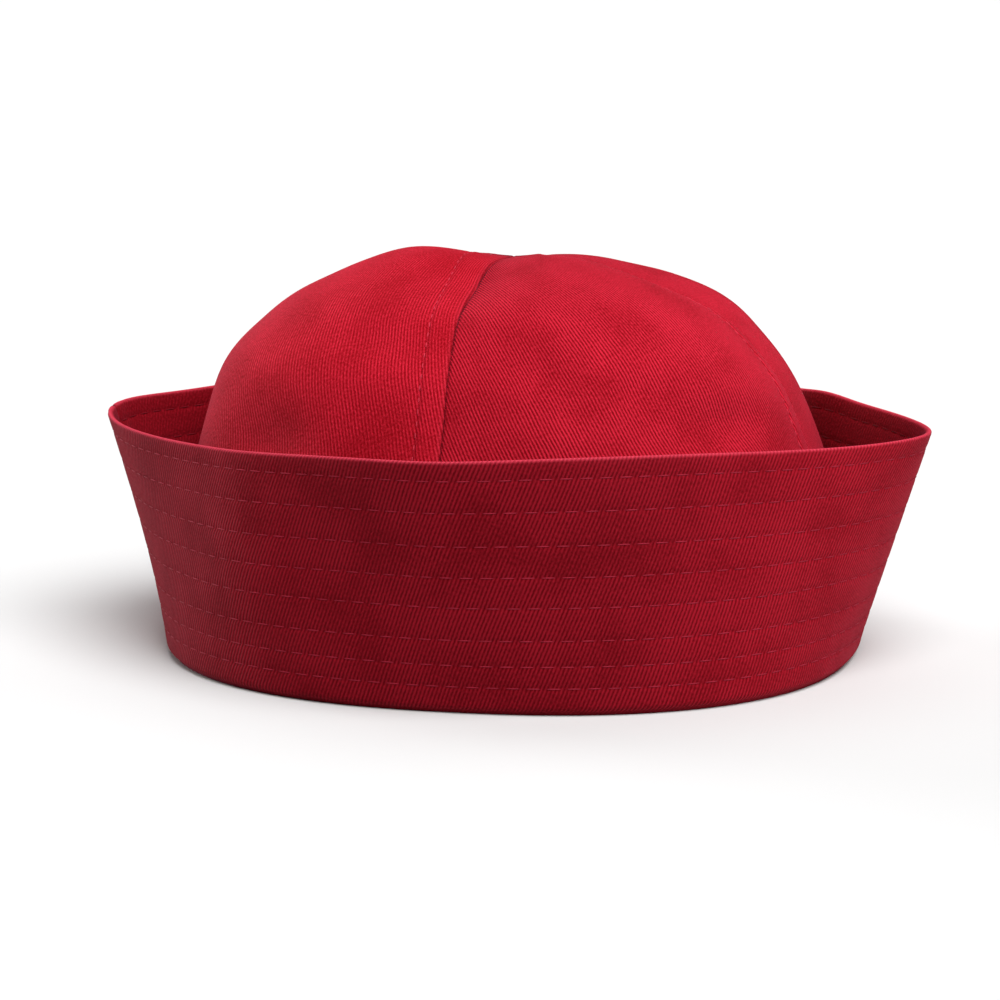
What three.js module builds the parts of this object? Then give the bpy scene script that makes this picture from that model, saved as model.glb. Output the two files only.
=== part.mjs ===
// Sailor cap of red cotton twill: a crown of four gores and a turned-up brim.
// Millimetres. +Z is up, the cap rests on z = 0, and the long axis of the head runs along X.
import * as THREE from 'three';

// Head and rim outlines, as half lengths of rounded outlines seen from above
const FOLD_LENGTH = 102;
const FOLD_WIDTH = 91;
const FOLD_POWER = 2.3;
const RIM_LENGTH = 123;
const RIM_WIDTH = 104.5;
const RIM_POWER = 1.43;
const TIP_SOFTNESS = 0.1;

// Brim: double cloth, folded up from the lower edge of the crown
const BRIM_WALL = 1.8;
const FOLD_RADIUS = 3.2;
const FOOT_WIDTH = 2;
const LEG_HEIGHT = 12;
const LEG_WALL = 1.4;
const RIM_HEIGHT = 69.5;
const RIM_END_DROP = 2.6;
const RIM_TILT = 1.3;
const RIM_TWIST = 1.1;
const RIM_LEAN = 2.3;

// Crown: four gores whose seams meet at the top, which leans back and falls to the left
const CROWN_WALL = 1.2;
const CROWN_LOW = 2.5;
const CROWN_HEIGHT = 115.1;
const CROWN_LEAN = -0.6;
const CROWN_TILT = 8.8;
const SEAM_GAP = 0.48;
const LAP_WIDTH = 7.6;
const LAP_RISE = 0.6;
const SEAM_DIP = 6.7;
const GORE_PUFF = 2;
const TIP_RADIUS = 0.6;
const GORE_TOP_SHARE = 0.995;

// Mesh steps
const BRIM_STEPS = 96;
const WALL_STEPS = 6;
const GORE_ACROSS = 18;
const GORE_UP = 20;

const RED = 0xb21c32;
const DARK_RED = 0x9a1728;

// Reach is the share of the base radius that the crown keeps at a share of its height
const CROWN_PROFILE = [
  { rise: 0.0, reach: 1.0 },
  { rise: 0.12, reach: 0.995 },
  { rise: 0.34, reach: 0.95 },
  { rise: 0.55, reach: 0.885 },
  { rise: 0.7, reach: 0.827 },
  { rise: 0.8, reach: 0.74 },
  { rise: 0.88, reach: 0.62 },
  { rise: 0.94, reach: 0.41 },
  { rise: 0.977, reach: 0.28 },
  { rise: 0.995, reach: 0.16 },
  { rise: 1.0, reach: 0.0 },
];

// Each gore starts at a seam, in degrees round the head at the rim and near the top
const GORES = [
  { gore: 'gore_back_right', low: -180, high: -184 },
  { gore: 'gore_front_right', low: -93, high: -95 },
  { gore: 'gore_front_left', low: -5, high: -6 },
  { gore: 'gore_back_left', low: 90, high: 92 },
];

// Soft swells (positive) and dents (negative) of the crown's cloth
const CROWN_SWELLS = [
  { at: -168, rise: 0.66, wide: 46, tall: 0.26, depth: 1.4 },
  { at: -150, rise: 0.84, wide: 34, tall: 0.1, depth: -2.1 },
  { at: -140, rise: 0.97, wide: 45, tall: 0.06, depth: 3.2 },
  { at: -60, rise: 0.84, wide: 34, tall: 0.1, depth: 1.2 },
  { at: 12, rise: 0.76, wide: 40, tall: 0.16, depth: -3.4 },
  { at: 30, rise: 0.98, wide: 50, tall: 0.05, depth: -2 },
  { at: 115, rise: 0.97, wide: 60, tall: 0.09, depth: -7.4 },
  { at: -133, rise: 0.54, wide: 12, tall: 0.1, depth: -4 },
  { at: -112, rise: 0.79, wide: 14, tall: 0.05, depth: -1.4 },
  { at: -101, rise: 0.93, wide: 14, tall: 0.05, depth: -1.2 },
  { at: -80, rise: 0.85, wide: 12, tall: 0.06, depth: 1.6 },
  { at: -74, rise: 0.74, wide: 8, tall: 0.05, depth: -1.6 },
  { at: -88, rise: 0.45, wide: 30, tall: 0.14, depth: 4.4 },
  { at: -71, rise: 0.57, wide: 8, tall: 0.06, depth: 1.2 },
  { at: -42, rise: 0.6, wide: 17, tall: 0.1, depth: -3 },
  { at: -51, rise: 0.69, wide: 9, tall: 0.05, depth: -1.4 },
  { at: -31, rise: 0.62, wide: 8, tall: 0.05, depth: -1.4 },
];

// Small rises of the rim's edge
const RIM_WAVES = [
  { at: 34, wide: 6, depth: 1.3 },
  { at: 176, wide: 9, depth: 1.3 },
];

// Soft waves of the brim: share of its height, and how far it moves out there
const BRIM_WAVES = [
  { at: -129, rise: 0.6, wide: 12, tall: 0.6, depth: 2.4 },
  { at: -104, rise: 0.5, wide: 14, tall: 0.5, depth: -1.2 },
  { at: -62, rise: 0.75, wide: 14, tall: 0.35, depth: 1.2 },
  { at: 38, rise: 1.0, wide: 8, tall: 0.4, depth: -2.4 },
  { at: 55, rise: 1.0, wide: 9, tall: 0.4, depth: 2 },
  { at: 140, rise: 0.9, wide: 14, tall: 0.4, depth: -1.6 },
];

const radians = THREE.MathUtils.degToRad;
const { lerp, smoothstep } = THREE.MathUtils;

// A power curve that is smooth where its argument passes zero
function softPower(value, power) {
  const soft = TIP_SOFTNESS ** 2;
  const raw = (value * value + soft) ** (power / 2) - soft ** (power / 2);
  return raw / ((1 + soft) ** (power / 2) - soft ** (power / 2));
}

// Radius of a rounded outline in the direction of an angle
function outlineRadius(angle, length, width, power) {
  const along = softPower(Math.cos(angle), power) / length ** power;
  const across = softPower(Math.sin(angle), power) / width ** power;
  return (along + across) ** (-1 / power);
}

const foldRadius = (angle) => outlineRadius(angle, FOLD_LENGTH, FOLD_WIDTH, FOLD_POWER);
const rimRadius = (angle) => outlineRadius(angle, RIM_LENGTH, RIM_WIDTH, RIM_POWER);

// How far an angle is from a row's place, as a share of the row's width
function aside(angle, row) {
  const turn = angle - radians(row.at);
  return Math.atan2(Math.sin(turn), Math.cos(turn)) / radians(row.wide);
}

function rimHeight(angle) {
  const ends = -RIM_END_DROP * Math.cos(2 * angle) - RIM_TWIST * Math.sin(2 * angle);
  let height = RIM_HEIGHT + ends + RIM_TILT * Math.cos(angle) - RIM_LEAN * Math.sin(angle);
  for (const row of RIM_WAVES) height += row.depth * Math.exp(-(aside(angle, row) ** 2));
  return height;
}

// Sum of the soft bumps in a table, at an angle and a share of the height
function swell(table, angle, rise) {
  let sum = 0;
  for (const row of table) {
    const above = (rise - row.rise) / row.tall;
    sum += row.depth * Math.exp(-(aside(angle, row) ** 2) - above * above);
  }
  return sum;
}

// Smooth curve through the crown's profile: x is the reach and y the rise
const crownCurve = new THREE.SplineCurve(
  CROWN_PROFILE.map((row) => new THREE.Vector2(row.reach, row.rise)),
);

// Point of the crown's outer face: share of the way up its section, and angle
function crownPoint(share, angle, puff) {
  const section = crownCurve.getPoint(share);
  const free = smoothstep(section.y, 0.14, 0.4);
  const base = foldRadius(angle) - FOLD_RADIUS + CROWN_WALL / 2;
  const near = smoothstep(section.x, 0, 0.5);
  const bulge = free * (puff * GORE_PUFF + swell(CROWN_SWELLS, angle, section.y));
  const outward = section.x ** 2;
  const radius = section.x * base + bulge * outward * near;
  const x = radius * Math.cos(angle) + free * (1 - outward) * CROWN_LEAN;
  const y = radius * Math.sin(angle);
  const lift = near * (1 - outward) * (free * puff * SEAM_DIP + bulge);
  const height = CROWN_LOW + section.y * (CROWN_HEIGHT - CROWN_LOW) + lift;
  return new THREE.Vector3(x, y, height - (free * CROWN_TILT * y) / FOLD_WIDTH);
}

// Angle of a seam at a share of the way up the crown
function seamAngle(seam, share) {
  return radians(lerp(seam.low, seam.high, smoothstep(share, 0.3, 0.9)));
}

// Outward direction of the crown's cloth, the same on both sides of a seam
function crownNormal(share, angle) {
  const step = 1e-3;
  const round = crownPoint(share, angle + step, 0).sub(crownPoint(share, angle - step, 0));
  const above = crownPoint(Math.min(share + step, 1), angle, 0);
  above.sub(crownPoint(Math.max(share - step, 0), angle, 0));
  return round.cross(above).normalize();
}

// One gore, from its left seam to its right one, with the pressed lap along the right
function goreGeometry(left, right) {
  const geometry = new THREE.BoxGeometry(1, 1, 1, GORE_ACROSS, GORE_UP, 1);
  const place = geometry.attributes.position;
  for (let i = 0; i < place.count; i += 1) {
    const across = place.getX(i) + 0.5;
    const share = (place.getY(i) + 0.5) * GORE_TOP_SHARE;
    const from = seamAngle(left, share);
    const to = seamAngle(right, share);
    const span = to - from + (to < from ? 2 * Math.PI : 0);
    const reach = Math.max(crownCurve.getPoint(share).x * FOLD_WIDTH, TIP_RADIUS);
    const trim = Math.min(Math.asin(SEAM_GAP / 2 / reach), span * 0.4);
    const angle = from + trim + across * (span - 2 * trim);
    const puff = Math.sin(Math.PI * across) ** 0.7;
    const edge = (1 - across) * span * reach;
    const pressed = 1 - smoothstep(edge, LAP_WIDTH - 1, LAP_WIDTH + 1);
    const lap = LAP_RISE * pressed * smoothstep(share, 0.04, 0.12);
    const point = crownPoint(share, angle, puff);
    point.addScaledVector(crownNormal(share, angle), place.getZ(i) > 0 ? lap : -CROWN_WALL);
    place.setXYZ(i, point.x, point.y, point.z);
  }
  return geometry;
}

// Section of the brim: across is out from the fold's widest line, up is the height
function brimSection() {
  const points = [];
  const inner = FOLD_RADIUS - BRIM_WALL;
  const add = (across, up) => points.push(new THREE.Vector2(across, up));
  const arc = (middle, height, radius, from, to, steps) => {
    for (let i = 0; i <= steps; i += 1) {
      const turn = radians(lerp(from, to, i / steps));
      add(middle + radius * Math.cos(turn), height + radius * Math.sin(turn));
    }
  };
  const middle = -FOLD_RADIUS;
  const foot = FOOT_WIDTH / 2;
  const edge = RIM_HEIGHT - BRIM_WALL / 2;
  const legFace = middle - inner - LEG_WALL;
  add(middle + foot, 0);
  arc(middle + foot, FOLD_RADIUS, FOLD_RADIUS - foot, -45, 0, 2);
  for (let i = 1; i <= WALL_STEPS; i += 1) add(0, lerp(FOLD_RADIUS, edge, i / WALL_STEPS));
  arc(-BRIM_WALL / 2, edge, BRIM_WALL / 2, 45, 135, 2);
  for (let i = WALL_STEPS; i > 0; i -= 1) add(-BRIM_WALL, lerp(FOLD_RADIUS, edge, i / WALL_STEPS));
  arc(middle, FOLD_RADIUS, inner, 0, -180, 4);
  add(middle - inner, LEG_HEIGHT);
  add(legFace, LEG_HEIGHT);
  add(legFace, FOLD_RADIUS);
  add(middle - foot, 0);
  return points;
}

// Place of a point of the brim's section at an angle round the head
function brimPoint(across, up, angle) {
  const share = Math.max(0, (up - FOLD_RADIUS) / (RIM_HEIGHT - FOLD_RADIUS));
  const outer = across > -FOLD_RADIUS ? 1 : 0;
  const flare = outer * share * (rimRadius(angle) - foldRadius(angle));
  const wave = outer * smoothstep(share, 0, 0.5) * swell(BRIM_WAVES, angle, share);
  const radius = foldRadius(angle) + across + flare + wave;
  const height = up + outer * share * (rimHeight(angle) - RIM_HEIGHT);
  return new THREE.Vector3(radius * Math.cos(angle), radius * Math.sin(angle), height);
}

function brimGeometry() {
  const section = brimSection();
  section.push(section[0].clone());
  const far = FOLD_LENGTH;
  const flat = section.map((point) => new THREE.Vector2(point.x + far, point.y));
  const geometry = new THREE.LatheGeometry(flat, BRIM_STEPS);
  const place = geometry.attributes.position;
  for (let i = 0; i < place.count; i += 1) {
    const across = Math.hypot(place.getX(i), place.getZ(i)) - far;
    const angle = Math.atan2(place.getX(i), place.getZ(i));
    const point = brimPoint(across, place.getY(i), angle);
    place.setXYZ(i, point.x, point.y, point.z);
  }
  return geometry;
}

function cloth(colour) {
  return new THREE.MeshStandardMaterial({ color: colour, roughness: 0.9, metalness: 0 });
}

function part(name, geometry, colour) {
  const mesh = new THREE.Mesh(geometry, cloth(colour));
  mesh.name = name;
  return mesh;
}

const cap = new THREE.Group();
cap.add(part('brim', brimGeometry(), DARK_RED));
GORES.forEach((left, i) => {
  const right = GORES[(i + 1) % GORES.length];
  cap.add(part(left.gore, goreGeometry(left, right), RED));
});

export default cap;
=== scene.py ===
"""A red cotton sailor cap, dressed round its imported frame.

The crown is four gores with pressed, stitched seams, and the brim is one strip of double
twill, folded up all round and held by rows of stitches. Lengths are in metres.
"""

import logging
import math
from collections.abc import Callable, Sequence
from dataclasses import dataclass
from enum import Enum

import bmesh
import bpy
import numpy as np
from mathutils import Matrix, Vector


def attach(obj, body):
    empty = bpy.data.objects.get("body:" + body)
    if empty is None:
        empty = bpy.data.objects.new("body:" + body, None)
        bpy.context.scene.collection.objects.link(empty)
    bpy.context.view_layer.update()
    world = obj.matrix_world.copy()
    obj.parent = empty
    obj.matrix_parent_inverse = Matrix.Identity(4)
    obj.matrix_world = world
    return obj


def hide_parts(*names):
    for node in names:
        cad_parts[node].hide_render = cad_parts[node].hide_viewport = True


log = logging.getLogger("sailor_cap")
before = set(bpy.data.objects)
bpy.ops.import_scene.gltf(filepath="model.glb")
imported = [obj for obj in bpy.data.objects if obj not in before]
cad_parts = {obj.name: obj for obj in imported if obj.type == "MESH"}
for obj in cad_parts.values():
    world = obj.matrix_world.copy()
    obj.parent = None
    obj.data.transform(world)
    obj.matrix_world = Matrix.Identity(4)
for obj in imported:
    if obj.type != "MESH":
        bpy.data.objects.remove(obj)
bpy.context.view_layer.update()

MM = 0.001
Table = np.ndarray
Socket = bpy.types.NodeSocket
Colour = tuple[float, float, float]
Pair = tuple[float, float]

# Directions all round the head, and a small turn for reading slopes.
ROUND = np.linspace(-math.pi, math.pi, 2049)
NUDGE = 1e-3


def smooth(value: Table, low: float, high: float) -> Table:
    """Blend from 0 at low to 1 at high, with level ends.

    Args:
        value: Where to read the blend.
        low: The value at which it starts.
        high: The value at which it ends.

    Returns:
        The blend, between 0 and 1.
    """
    share = np.clip((value - low) / (high - low), 0.0, 1.0)
    return share * share * (3.0 - 2.0 * share)


def hump(value: Table, middle: float, wide: float) -> Table:
    """Return a soft bump of height 1 round a middle value."""
    return np.exp(-(((value - middle) / wide) ** 2))


@dataclass(frozen=True)
class Swell:
    """A soft swell of the cloth, or a dent where its depth is negative.

    Attributes:
        at: Its direction round the head, in degrees.
        rise: Its place up the piece, as a share of the height.
        wide: Half its width, in degrees.
        tall: Half its height, as a share.
        depth: How far the cloth moves outwards.
    """

    at: float
    rise: float
    wide: float
    tall: float
    depth: float

    def push(self, angle: Table, rise: Table) -> Table:
        """Work out how far this swell moves the cloth.

        Args:
            angle: Directions round the head.
            rise: Shares of the height.

        Returns:
            The distances outwards.
        """
        turn = angle - math.radians(self.at)
        turn = np.arctan2(np.sin(turn), np.cos(turn))
        return self.depth * hump(turn, 0.0, math.radians(self.wide)) * hump(rise, self.rise, self.tall)


def swelling(swells: Sequence[Swell], angle: Table, rise: Table) -> Table:
    """Return the sum of several swells, at angles and shares of height."""
    return sum((swell.push(angle, rise) for swell in swells), np.zeros_like(angle))


@dataclass(frozen=True)
class Outline:
    """A rounded outline seen from above, between an oval and a rounded diamond.

    Attributes:
        length: Half its length along X.
        width: Half its width along Y.
        power: 2 gives an oval, less a diamond and more a box.
        softness: How much its ends are rounded.
    """

    length: float
    width: float
    power: float
    softness: float = 0.1

    def _soft(self, value: Table) -> Table:
        """Return the outline's power curve, smooth where the value passes zero."""
        soft = self.softness**2
        half = self.power / 2
        return ((value**2 + soft) ** half - soft**half) / ((1 + soft) ** half - soft**half)

    def radius(self, angle: Table) -> Table:
        """Return the distance from the middle to the outline, at angles."""
        along = self._soft(np.cos(angle)) / self.length**self.power
        across = self._soft(np.sin(angle)) / self.width**self.power
        return (along + across) ** (-1 / self.power)


FOLD = Outline(length=102 * MM, width=91 * MM, power=2.3)
RIM = Outline(length=123 * MM, width=104.5 * MM, power=1.43)
FOLD_RADIUS = 3.2 * MM

# How far the middle of the brim's thread lies off the cloth.
THREAD_LIFT = 0.05 * MM


class Side(Enum):
    """The two faces of a cloth wall."""

    OUTSIDE = 1
    INSIDE = -1


class Grain(Enum):
    """How fine each unevenness is: its marks in a metre or a yarn, and layers of detail."""

    WOBBLE = (90.0, 2.0)
    YARN = (1.0, 3.0)
    FUZZ = (1700.0, 2.0)
    PATCH = (55.0, 3.0)
    BLOTCH = (22.0, 4.0)
    DYE = (140.0, 2.0)
    TWIST = (2600.0, 1.0)


# Ranges of values: most of a noise, its middle part, and the whole from 0 to 1.
NOISE_SPAN = (0.3, 0.7)
MIDDLE_SPAN = (0.35, 0.65)
WHOLE = (0.0, 1.0)


@dataclass(frozen=True)
class Spot:
    """Points on a cloth with the directions there, one row each.

    Attributes:
        place: The points.
        out: The directions out of the cloth.
    """

    place: Table
    out: Table


class NodePlan:
    """A new material, with short words for adding nodes to it."""

    def __init__(self, name: str) -> None:
        """Start the material under its name."""
        self.material = bpy.data.materials.new(name)
        self.material.use_nodes = True
        self.tree = self.material.node_tree

    def put(self, name: str, value: object) -> None:
        """Give one of the shader's inputs an output of another node, or a plain value."""
        self.feed(self.tree.nodes["Principled BSDF"].inputs[name], value)

    def add(self, kind: str, **settings: object) -> bpy.types.Node:
        """Add a node and set its properties.

        Args:
            kind: The node's type name.
            **settings: Properties to set on it.

        Returns:
            The new node.
        """
        node = self.tree.nodes.new(kind)
        for name, value in settings.items():
            setattr(node, name, value)
        return node

    def feed(self, socket: Socket, value: object) -> None:
        """Link an output into a socket, or set a plain value on it."""
        if isinstance(value, Socket):
            self.tree.links.new(value, socket)
        else:
            socket.default_value = value

    def _combine(self, kind: str, operation: str, values: Sequence[object]) -> bpy.types.Node:
        """Add a node that works on values.

        Args:
            kind: The node's type name.
            operation: What it does with them.
            values: What goes into its first sockets.

        Returns:
            The new node.
        """
        node = self.add(kind, operation=operation)
        for socket, value in zip(node.inputs, values):
            self.feed(socket, value)
        return node

    def math(self, operation: str, *values: object) -> Socket:
        """Return the output of a Math node on up to three values."""
        return self._combine("ShaderNodeMath", operation, values).outputs[0]

    def scaled(self, value: Socket, factor: float) -> Socket:
        """Return a value times a factor."""
        return self.math("MULTIPLY", value, factor)

    def dot(self, vector: Socket, direction: tuple[float, float, float]) -> Socket:
        """Return how far a vector goes in a direction."""
        node = self._combine("ShaderNodeVectorMath", "DOT_PRODUCT", (vector, direction))
        return node.outputs["Value"]

    def shaken(self, vector: Socket, noise: Socket, reach: float) -> Socket:
        """Return a vector moved both ways by a noise, as far as reach."""
        move = self.math("MULTIPLY_ADD", noise, 2 * reach, -reach)
        return self._combine("ShaderNodeVectorMath", "ADD", (vector, move)).outputs["Vector"]

    def noise(self, vector: Socket, grain: Grain) -> Socket:
        """Return a noise of a grain, read at a vector."""
        node = self.add("ShaderNodeTexNoise")
        for name, value in zip(("Vector", "Scale", "Detail"), (vector, *grain.value)):
            self.feed(node.inputs[name], value)
        return node.outputs["Fac"]

    def on_points(self, name: str) -> Socket:
        """Return a value that the mesh holds at its points."""
        return self.add("ShaderNodeAttribute", attribute_name=name).outputs["Fac"]

    def map_range(self, value: Socket, source: Pair, target: Pair) -> Socket:
        """Return a value carried from one range to another, held at its ends."""
        node = self.add("ShaderNodeMapRange")
        for socket, number in zip(node.inputs, (value, *source, *target)):
            self.feed(socket, number)
        return node.outputs["Result"]

    def mix_colour(self, factor: Socket, low: object, high: object) -> Socket:
        """Blend two colours.

        Args:
            factor: Their blend, 0 for the low one.
            low: The low colour, plain or an output.
            high: The high colour, plain or an output.

        Returns:
            The blended colour.
        """
        node = self.add("ShaderNodeMix", data_type="RGBA")
        self.feed(node.inputs["Factor"], factor)
        for name, colour in (("A_Color", low), ("B_Color", high)):
            socket = next(socket for socket in node.inputs if socket.identifier == name)
            self.feed(socket, (*colour, 1.0) if isinstance(colour, tuple) else colour)
        return next(socket for socket in node.outputs if socket.identifier == "Result_Color")

    def scale_colour(self, colour: Socket, factor: Socket) -> Socket:
        """Return a colour made lighter or darker by a factor."""
        node = self.add("ShaderNodeVectorMath", operation="SCALE")
        self.feed(node.inputs[0], colour)
        self.feed(node.inputs["Scale"], factor)
        return node.outputs["Vector"]

    def bump(self, height: Socket, depth: float) -> Socket:
        """Return normals bumped by a height, as deep as depth."""
        node = self.add("ShaderNodeBump")
        self.feed(node.inputs["Distance"], depth)
        self.feed(node.inputs["Height"], height)
        return node.outputs["Normal"]


@dataclass(frozen=True)
class TwillCloth:
    """Cotton twill: diagonal ribs with grooves darkened as painted shade, a faint fuzz and soft blotches.

    Attributes:
        name: The material's name.
        ridge: Colour on top of the ribs.
        groove: Colour between the ribs, darker than the ridge as painted shade in the grooves.
        pitch: Distance from rib to rib.
        lean: Angle of the ribs from the cloth's lengthways thread, in degrees, left positive.
        sheen: Weight of the cotton's sheen.
        sheen_tint: Colour of that sheen.
        rubbed_highlight_colour: A light colour for rubbed folded edges, which also serves as a painted
            highlight.
        relief: Depth of the ribs in the bump.
        wobble: How far the ribs wander from straight.
        yarns: How many yarns lie in one pitch, across the ribs and along them.
        yarn: How much the yarns' unevenness counts beside a rib's height.
        fuzz: How much the fuzz counts beside it.
        faint: Share of the ribs' height left in faint patches.
        smoothed: Share of the ribs' height left where the cloth is calm.
        crest: Heights of the weave between which groove turns to ridge.
        rubbed_highlight_heights: Heights of the weave between which the rubbed, highlighted colour takes
            full hold.
        least_rubbed_highlight: Share of that rubbed, highlighted colour that shows in the grooves.
        blotch: How much lighter or darker the blotches are.
        rough_heights: Heights of the weave between which its roughness changes.
        roughness: Roughness in the grooves and on the ridges.
        gloss: Strength of the cloth's plain reflection.
    """

    name: str
    ridge: Colour
    groove: Colour
    pitch: float
    lean: float
    sheen: float = 0.06
    sheen_tint: Colour = (1.0, 0.3, 0.5)
    # Rubbed edges, lightened as a painted highlight.
    rubbed_highlight_colour: Colour = (0.55, 0.04, 0.072)
    relief: float = 0.14 * MM
    wobble: float = 0.35 * MM
    yarns: Pair = (2.0, 1.2)
    yarn: float = 1.3
    fuzz: float = 0.3
    faint: float = 0.5
    smoothed: float = 0.25
    crest: Pair = (0.8, 1.6)
    rubbed_highlight_heights: Pair = (0.5, 1.5)
    least_rubbed_highlight: float = 0.45
    blotch: float = 0.035
    rough_heights: Pair = (0.6, 1.6)
    roughness: Pair = (0.96, 0.8)
    gloss: float = 0.05

    def weave(self, plan: NodePlan, cloth: Socket) -> Socket:
        """Weave the ribs from uneven yarns, fainter in patches and where the cloth is calm.

        Args:
            plan: The material's nodes.
            cloth: Places on the flat cloth, in metres.

        Returns:
            The height of the weave, low in the grooves.
        """
        shaken = plan.shaken(cloth, plan.noise(cloth, Grain.WOBBLE), self.wobble)
        turn = math.radians(self.lean)
        across = plan.dot(shaken, (math.cos(turn), math.sin(turn), 0.0))
        along = plan.dot(shaken, (-math.sin(turn), math.cos(turn), 0.0))
        wave = plan.math("SINE", plan.scaled(across, 2 * math.pi / self.pitch))
        rib = plan.math("MULTIPLY_ADD", wave, 0.5, 0.5)
        grid = plan.add("ShaderNodeCombineXYZ")
        for name, place, count in (("X", across, self.yarns[0]), ("Y", along, self.yarns[1])):
            plan.feed(grid.inputs[name], plan.scaled(place, count / self.pitch))
        yarn = plan.noise(grid.outputs["Vector"], Grain.YARN)
        fuzz = plan.scaled(plan.noise(cloth, Grain.FUZZ), self.fuzz)
        patch = plan.map_range(plan.noise(cloth, Grain.PATCH), MIDDLE_SPAN, (self.faint, 1.0))
        calm = plan.map_range(plan.on_points("calm"), WHOLE, (1.0, self.smoothed))
        strong = plan.math("MULTIPLY", rib, plan.math("MULTIPLY", patch, calm))
        return plan.math("ADD", plan.math("MULTIPLY_ADD", yarn, self.yarn, strong), fuzz)

    def material(self) -> bpy.types.Material:
        """Build the material.

        Returns:
            The twill, which reads the UV map "cloth" in metres, and the values "wear"
            (rubbed edges with a painted highlight), "tone" (painted light and shade) and "calm" at the
            mesh's points.
        """
        plan = NodePlan(self.name)
        plan.put("Specular IOR Level", self.gloss)
        plan.put("Sheen Weight", self.sheen)
        plan.put("Sheen Roughness", 0.45)
        plan.put("Sheen Tint", (*self.sheen_tint, 1.0))
        cloth = plan.add("ShaderNodeUVMap", uv_map="cloth").outputs["UV"]
        height = self.weave(plan, cloth)
        # The ribs are the cloth's own pattern; their grooves are darkened as painted shade where the
        # weave's height falls.
        colour = plan.mix_colour(plan.map_range(height, self.crest, WHOLE), self.groove, self.ridge)
        blotches = (1 - self.blotch, 1 + self.blotch)
        blotch = plan.map_range(plan.noise(cloth, Grain.BLOTCH), NOISE_SPAN, blotches)
        # Random blotches, times the painted light and shade held at the points.
        shade = plan.math("MULTIPLY", blotch, plan.on_points("painted_shading"))
        # Rubbed edges take a painted highlight, fuller on the ribs than in the grooves.
        hold = plan.map_range(height, self.rubbed_highlight_heights, (self.least_rubbed_highlight, 1.0))
        rubbed_and_highlit = plan.math("MULTIPLY", plan.on_points("rubbed_highlight"), hold)
        plan.put("Base Color", plan.mix_colour(rubbed_and_highlit, plan.scale_colour(colour, shade), self.rubbed_highlight_colour))
        plan.put("Roughness", plan.map_range(height, self.rough_heights, self.roughness))
        plan.put("Normal", plan.bump(height, self.relief))
        return plan.material


@dataclass(frozen=True)
class Thread:
    """Cotton sewing thread, a little lighter than the cloth.

    Attributes:
        name: The material's name.
        colour: The thread's colour.
        darkest: How much of that colour is left where the dye is darkest.
        relief: Depth of the thread's twist in the bump.
    """

    name: str
    colour: Colour
    darkest: float = 0.72
    relief: float = 0.06 * MM

    def material(self) -> bpy.types.Material:
        """Build the material.

        Returns:
            The thread, with a fine twist and a little unevenness of colour.
        """
        plan = NodePlan(self.name)
        plan.put("Roughness", 0.7)
        plan.put("Specular IOR Level", 0.1)
        place = plan.add("ShaderNodeTexCoord").outputs["Object"]
        shade = plan.map_range(plan.noise(place, Grain.DYE), NOISE_SPAN, WHOLE)
        darker = tuple(self.darkest * part for part in self.colour)
        plan.put("Base Color", plan.mix_colour(shade, darker, self.colour))
        plan.put("Normal", plan.bump(plan.noise(place, Grain.TWIST), self.relief))
        return plan.material


def add_piece(name: str, mesh: bpy.types.Mesh, finish: bpy.types.Material) -> bpy.types.Object:
    """Put a finished mesh into the scene as a piece of the cap.

    Args:
        name: The piece's name.
        mesh: Its mesh, in place.
        finish: Its material.

    Returns:
        The new object, riding on the cap.
    """
    mesh.materials.append(finish)
    piece = bpy.data.objects.new(name, mesh)
    bpy.context.scene.collection.objects.link(piece)
    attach(piece, "root")
    log.info("%s: %d faces", name, len(mesh.polygons))
    return piece


def new_mesh(name: str, build: bmesh.types.BMesh) -> bpy.types.Mesh:
    """Turn a finished bmesh into a mesh.

    Args:
        name: The mesh's name.
        build: The bmesh, which is freed.

    Returns:
        The mesh.
    """
    mesh = bpy.data.meshes.new(name)
    build.to_mesh(mesh)
    build.free()
    return mesh


def read_points(mesh: bpy.types.Mesh) -> Table:
    """Return a mesh's points, one row each."""
    flat = np.empty(len(mesh.vertices) * 3)
    mesh.vertices.foreach_get("co", flat)
    return flat.reshape(-1, 3)


def shade_smooth(mesh: bpy.types.Mesh) -> None:
    """Shade a mesh smooth."""
    mesh.polygons.foreach_set("use_smooth", [True] * len(mesh.polygons))
    mesh.update()


def write_points(mesh: bpy.types.Mesh, points: Table) -> None:
    """Move a mesh's points, and shade it smooth."""
    mesh.vertices.foreach_set("co", points.ravel())
    shade_smooth(mesh)


def write_cloth_map(mesh: bpy.types.Mesh, across: Table, along: Table) -> None:
    """Give a mesh the UV map "cloth", in metres of flat cloth.

    Args:
        mesh: The mesh.
        across: Each point's place across the cloth.
        along: Each point's place along it.
    """
    layer = mesh.uv_layers.new(name="cloth")
    corner = np.empty(len(mesh.loops), dtype=np.int64)
    mesh.loops.foreach_get("vertex_index", corner)
    layer.data.foreach_set("uv", np.stack([across[corner], along[corner]], axis=1).ravel())


def write_value(mesh: bpy.types.Mesh, name: str, values: Table) -> None:
    """Give a mesh a value at each point, for its material to read by name."""
    layer = mesh.attributes.new(name, "FLOAT", "POINT")
    layer.data.foreach_set("value", values)


def close_mesh(mesh: bpy.types.Mesh) -> None:
    """Weld a bent sheet's edges together where they meet, and face it out of the cloth.

    Args:
        mesh: The mesh, which is changed.
    """
    build = bmesh.new()
    build.from_mesh(mesh)
    bmesh.ops.remove_doubles(build, verts=build.verts, dist=0.0001 * MM)
    if build.calc_volume(signed=True) < 0:
        bmesh.ops.reverse_faces(build, faces=build.faces)
    build.to_mesh(mesh)
    build.free()


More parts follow.
